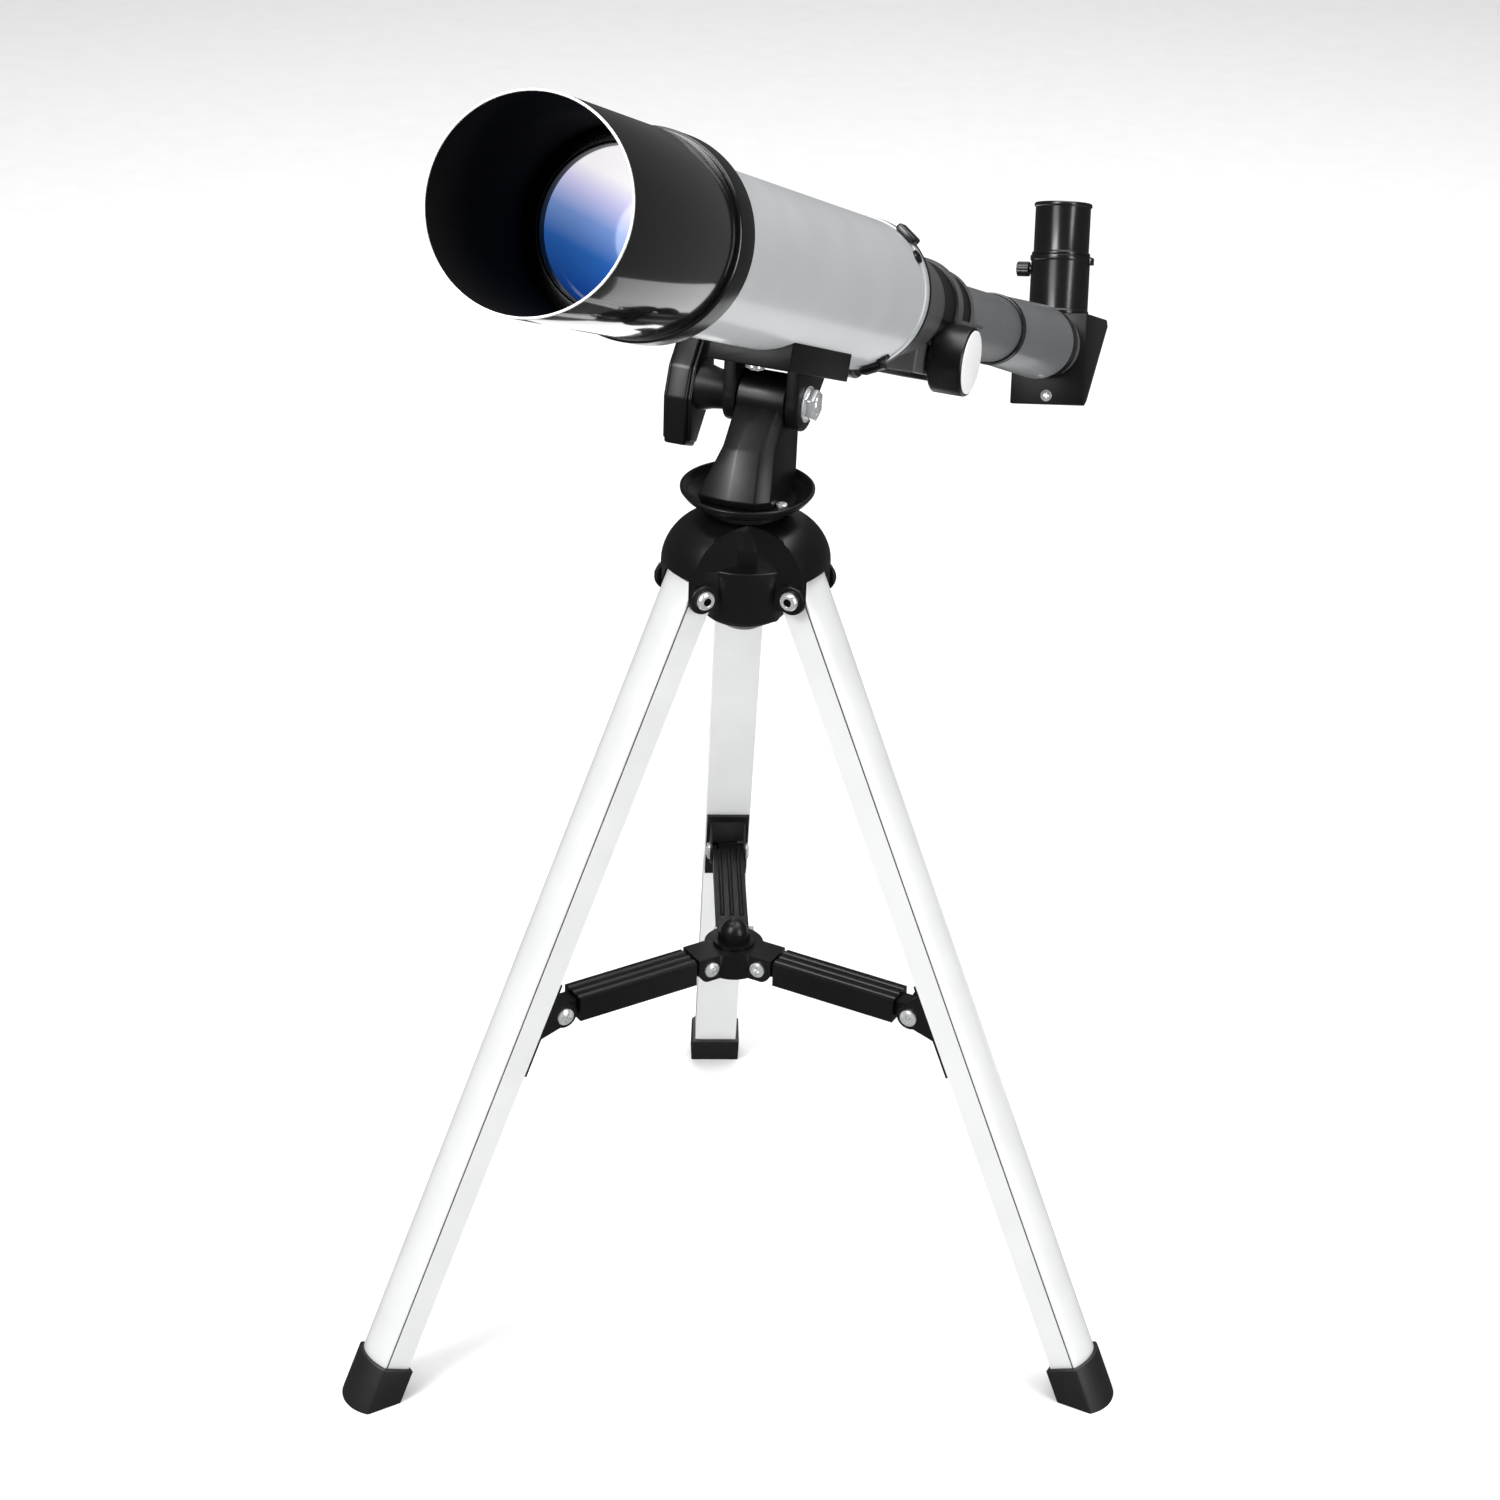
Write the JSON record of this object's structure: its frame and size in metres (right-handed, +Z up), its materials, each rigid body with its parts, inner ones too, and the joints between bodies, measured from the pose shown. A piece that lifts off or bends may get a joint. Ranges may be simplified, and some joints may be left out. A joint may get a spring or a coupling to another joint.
{
  "type": "telescope on tripod",
  "caption": "Small refracting telescope with focuser, star diagonal and eyepiece on a folding table tripod with pan and tilt head.",
  "frame": {"origin": "on the floor plane, under the middle of the bounding box", "axes": "+Z up, +X right and +Y away from a viewer in front of the tripod, whose two front legs point towards -Y; the telescope points to the front left and up"},
  "size_m": [0.3279, 0.5846, 0.5228],
  "materials": {
    "black_plastic": "satin black moulded plastic",
    "steel": "bright zinc-plated steel",
    "leg_aluminium": "pale anodised aluminium",
    "rubber": "matte black rubber",
    "black_steel": "black painted pressed steel",
    "hood_black": "gloss black, matte inside",
    "black_metal": "satin black anodised aluminium",
    "optical_glass": "coated optical glass",
    "tube_silver": "silver-grey painted aluminium",
    "brass": "machined brass",
    "knob_plastic": "black plastic",
    "polished_disc": "polished metal disc",
    "grey_metal": "grey metallic painted aluminium"
  },
  "bodies": {
    "tripod_hub": {"hub": "black_plastic", "hinge_screws": "steel", "hinge_nuts": "steel", "pan_bolt": "steel", "friction_washer": "rubber"},
    "leg_1": {"leg_tube_1": "leg_aluminium", "leg_plug_1": "black_plastic", "foot_1": "rubber", "bracket_1": "black_steel", "bracket_screws_1": "steel"},
    "leg_2": {"leg_tube_2": "leg_aluminium", "leg_plug_2": "black_plastic", "foot_2": "rubber", "bracket_2": "black_steel", "bracket_screws_2": "steel"},
    "leg_3": {"leg_tube_3": "leg_aluminium", "leg_plug_3": "black_plastic", "foot_3": "rubber", "bracket_3": "black_steel", "bracket_screws_3": "steel"},
    "brace_centre": {"brace_hub": "black_plastic", "brace_screws": "steel", "brace_nuts": "steel", "brace_bolt": "steel", "dome_nut": "black_plastic"},
    "brace_arm_1": {"arm_1": "black_plastic"},
    "brace_arm_2": {"arm_2": "black_plastic"},
    "brace_arm_3": {"arm_3": "black_plastic"},
    "yoke": {"yoke": "black_plastic", "bowl_screw": "steel"},
    "telescope": {"saddle": "black_plastic", "saddle_screws": "steel", "tilt_bolt": "steel", "hood": "hood_black", "lens_cell": "black_metal", "crown_lens": "optical_glass", "flint_lens": "optical_glass", "lens_ring": "black_metal", "main_tube": "tube_silver", "baffle": "black_metal", "focuser": "black_plastic", "rim_screws": "black_metal", "pinion_cover": "black_plastic"},
    "wing_knob": {"wing_knob": "black_plastic"},
    "focus_shaft": {"pinion": "brass", "focus_knobs": "knob_plastic", "knob_discs": "polished_disc"},
    "drawtube": {"drawtube": "grey_metal", "rack": "brass", "draw_ring": "black_metal", "end_sleeve": "grey_metal", "draw_collar": "black_metal"},
    "diagonal": {"diagonal": "black_plastic", "prism": "optical_glass", "diagonal_screw": "steel", "eyepiece_holder": "black_metal"},
    "thumbscrew": {"thumbscrew": "knob_plastic"},
    "eyepiece": {"eyepiece": "black_metal", "eye_lens": "optical_glass", "field_lens": "optical_glass"}
  },
  "joints": [
    {"name": "leg_1_fold", "type": "hinge", "parent": "tripod_hub", "child": "leg_1", "pos_m": [-0.04074, -0.12135, 0.3029], "axis": [0.5, -0.866, 0], "range_deg": [0, 21.5]},
    {"name": "leg_2_fold", "type": "hinge", "parent": "tripod_hub", "child": "leg_2", "pos_m": [0.00134, -0.12135, 0.3029], "axis": [0.5, 0.866, 0], "range_deg": [0, 21.5]},
    {"name": "leg_3_fold", "type": "hinge", "parent": "tripod_hub", "child": "leg_3", "pos_m": [-0.0197, -0.0849, 0.3029], "axis": [-1, 0, 0], "range_deg": [0, 21.5]},
    {"name": "brace_slide", "type": "slide", "parent": "tripod_hub", "child": "brace_centre", "axis": [0, 0, 1], "range_m": [0, 0.055]},
    {"name": "arm_1_fold", "type": "hinge", "parent": "brace_centre", "child": "brace_arm_1", "pos_m": [-0.03113, -0.1158, 0.1458], "axis": [0.5, -0.866, 0], "range_deg": [0, 89]},
    {"name": "arm_2_fold", "type": "hinge", "parent": "brace_centre", "child": "brace_arm_2", "pos_m": [-0.00827, -0.1158, 0.1458], "axis": [0.5, 0.866, 0], "range_deg": [0, 89]},
    {"name": "arm_3_fold", "type": "hinge", "parent": "brace_centre", "child": "brace_arm_3", "pos_m": [-0.0197, -0.096, 0.1458], "axis": [-1, 0, 0], "range_deg": [0, 89]},
    {"name": "pan", "type": "hinge", "parent": "tripod_hub", "child": "yoke", "pos_m": [-0.0197, -0.1092, 0.33], "axis": [0, 0, 1], "continuous": true},
    {"name": "tilt", "type": "hinge", "parent": "yoke", "child": "telescope", "pos_m": [-0.01238, -0.09221, 0.3619], "axis": [-0.9184, 0.3955, 0], "range_deg": [-53.2, 26.8]},
    {"name": "wing_turn", "type": "hinge", "parent": "telescope", "child": "wing_knob", "pos_m": [-0.03994, -0.08034, 0.3619], "axis": [0.9184, -0.3955, 0], "range_deg": [-90, 90]},
    {"name": "focus_spin", "type": "hinge", "parent": "telescope", "child": "focus_shaft", "pos_m": [0.04503, 0.04111, 0.32743], "axis": [-0.9184, 0.3955, 0], "range_deg": [-529.5, 441.5]},
    {"name": "focus_slide", "type": "slide", "parent": "telescope", "child": "drawtube", "axis": [0.3636, 0.8442, -0.3939], "range_m": [-0.03, 0.025]},
    {"name": "diagonal_turn", "type": "hinge", "parent": "drawtube", "child": "diagonal", "pos_m": [0.12879, 0.23559, 0.25539], "axis": [-0.3636, -0.8442, 0.3939], "continuous": true},
    {"name": "thumb_turn", "type": "hinge", "parent": "diagonal", "child": "thumbscrew", "pos_m": [0.138, 0.26852, 0.27862], "axis": [-0.9309, 0.3449, -0.12], "range_deg": [0, 360]},
    {"name": "eyepiece_slide", "type": "slide", "parent": "diagonal", "child": "eyepiece", "axis": [0.0346, 0.4103, 0.9113], "range_m": [0, 0.026]}
  ],
  "couplings": [
    {"joint": "leg_2_fold", "follows": "leg_1_fold", "ratio": 1},
    {"joint": "leg_3_fold", "follows": "leg_1_fold", "ratio": 1},
    {"joint": "brace_slide", "follows": "leg_1_fold", "m_per_rad": 0.14561},
    {"joint": "arm_1_fold", "follows": "leg_1_fold", "ratio": 4.1248},
    {"joint": "arm_2_fold", "follows": "leg_1_fold", "ratio": 4.1248},
    {"joint": "arm_3_fold", "follows": "leg_1_fold", "ratio": 4.1248},
    {"joint": "focus_spin", "follows": "focus_slide", "rad_per_m": 307.69}
  ]
}
